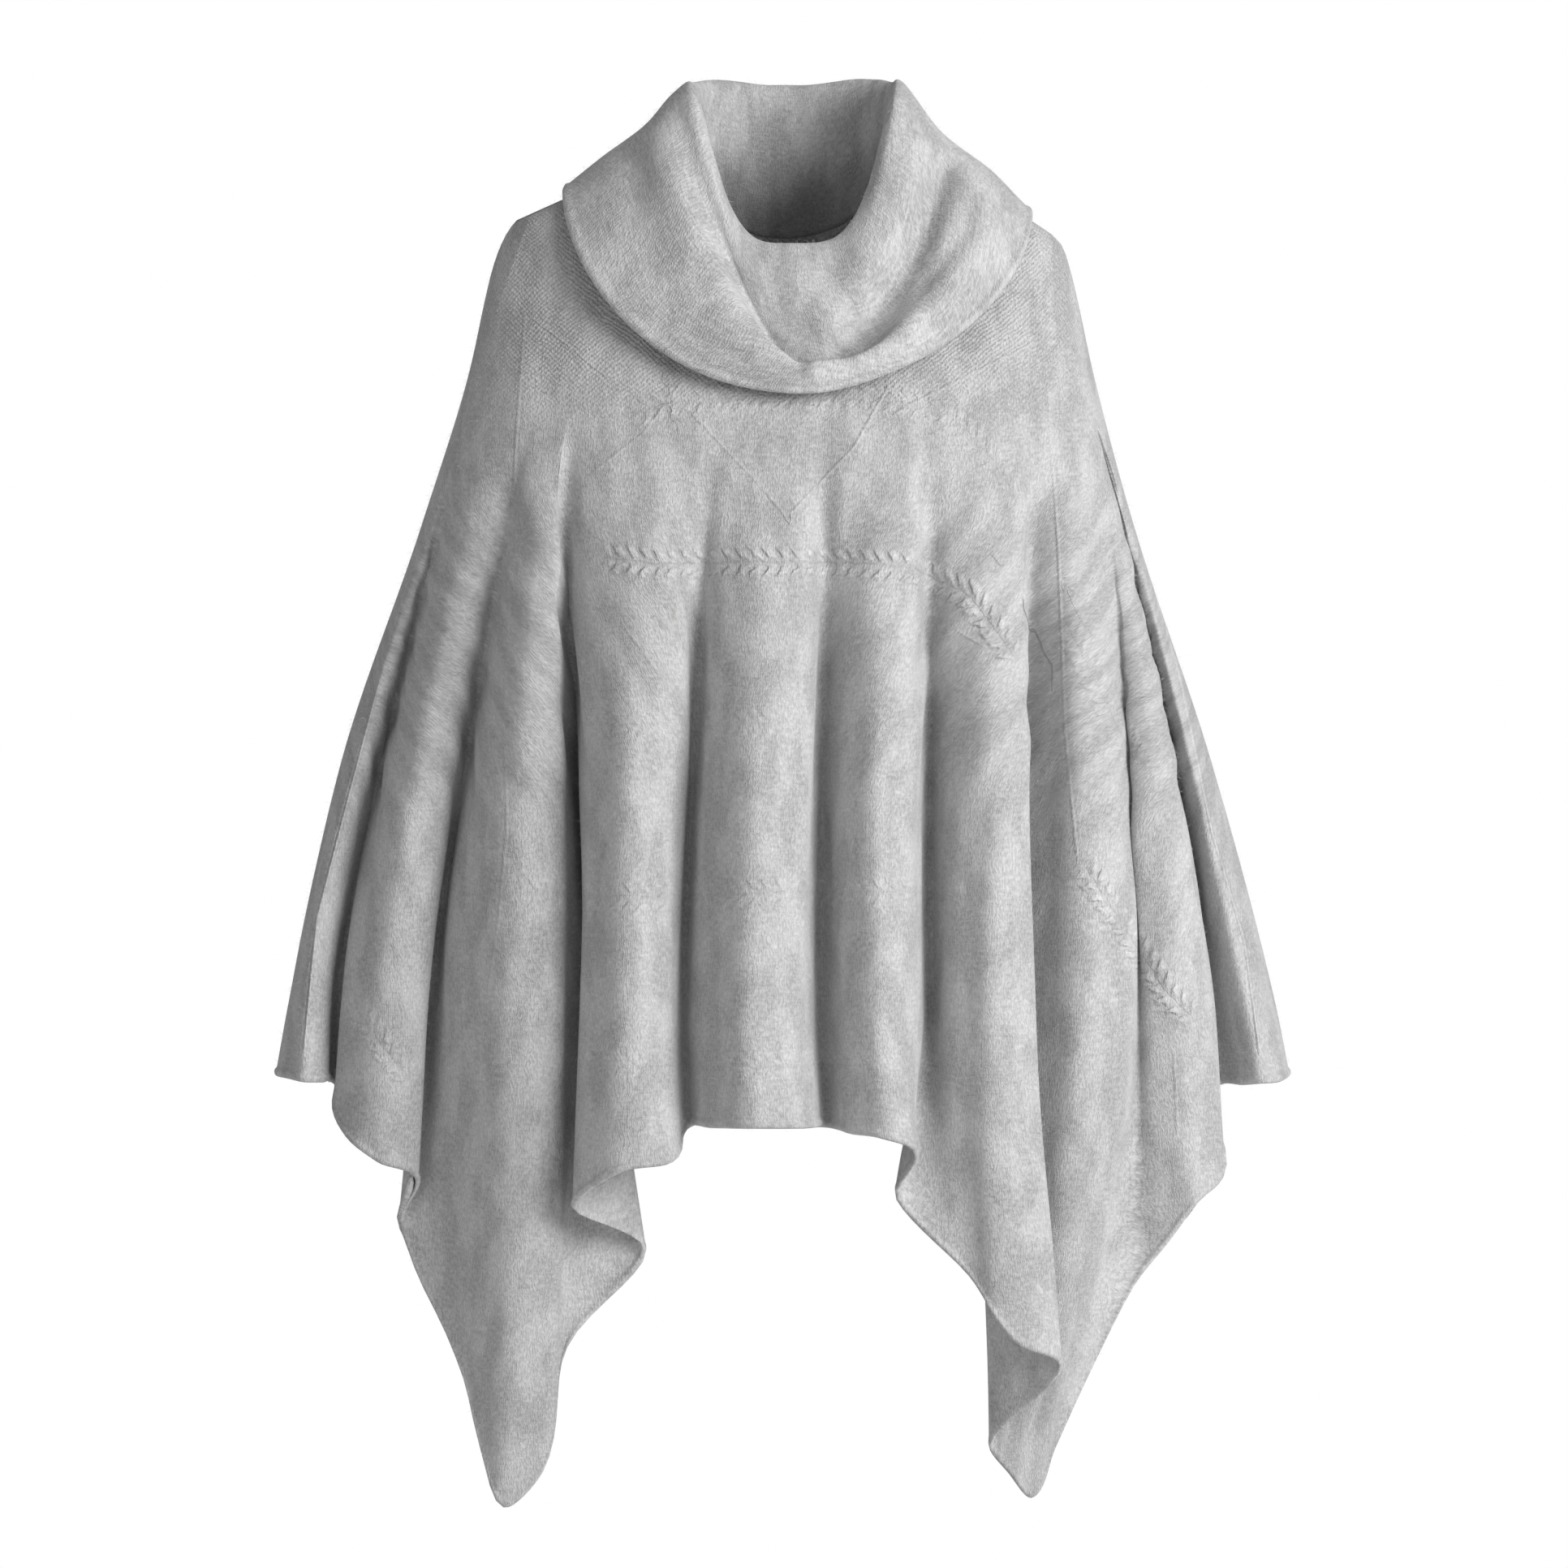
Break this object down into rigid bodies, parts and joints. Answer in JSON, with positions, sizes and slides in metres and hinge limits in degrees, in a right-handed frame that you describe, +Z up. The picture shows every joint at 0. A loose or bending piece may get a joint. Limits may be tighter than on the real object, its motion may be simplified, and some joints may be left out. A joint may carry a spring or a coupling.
{
  "type": "knitted poncho sweater",
  "caption": "Loose knitted poncho sweater worn over the arms: batwing front and back with deep soft folds, a pointed hem at each side, short narrow cuffs and a rolled cowl collar.",
  "frame": {"origin": "middle of the neck at the height of the shoulder points, where the garment hangs on the wearer's shoulders", "axes": "+Z up, from the hem to the neck; +X to the right as the front is looked at; the front faces -Y"},
  "size_m": [0.7249, 0.2981, 1.017],
  "materials": {
    "brushed_wool_knit": "brushed, matt",
    "plain_wool_knit": "brushed, matt"
  },
  "bodies": {
    "root": {"front": "brushed_wool_knit", "back": "brushed_wool_knit", "collar": "plain_wool_knit"}
  },
  "joints": []
}
